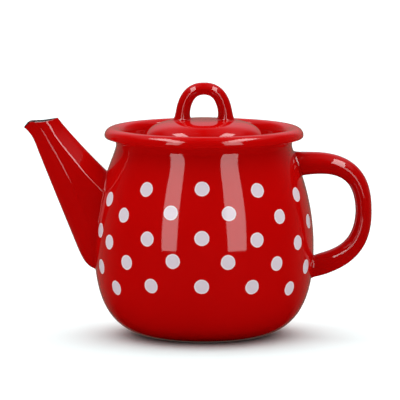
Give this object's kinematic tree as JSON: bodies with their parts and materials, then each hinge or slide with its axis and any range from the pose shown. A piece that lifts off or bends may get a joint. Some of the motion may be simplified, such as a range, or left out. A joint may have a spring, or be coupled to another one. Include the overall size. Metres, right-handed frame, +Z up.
{
  "type": "teapot",
  "caption": "Enamelled sheet-steel teapot with a round belly, rolled rim, tapered spout, hollow D handle and an inset domed lid that lifts off by a loop",
  "frame": {"origin": "centre of the flat base, on the surface that the pot stands on", "axes": "+Z up, the spout points to -X and the handle to +X, and the seams of the spout and the handle lie in the plane Y = 0"},
  "size_m": [0.2171, 0.1372, 0.1582],
  "materials": {
    "dotted_red_enamel": "glossy red vitreous enamel with pale lavender dots, white enamel inside",
    "red_enamel": "glossy red vitreous enamel",
    "white_enamel": "glossy white vitreous enamel"
  },
  "bodies": {
    "pot": {"pot_body": "dotted_red_enamel", "spout_left_half": "red_enamel", "spout_right_half": "red_enamel", "handle_left_half": "red_enamel", "handle_right_half": "red_enamel"},
    "lid": {"lid": "red_enamel", "lid_skirt": "white_enamel", "lid_loop": "red_enamel"}
  },
  "joints": [
    {"name": "lid_lift", "type": "slide", "parent": "pot", "child": "lid", "axis": [0, 0, 1], "range_m": [0, 0.08]}
  ]
}
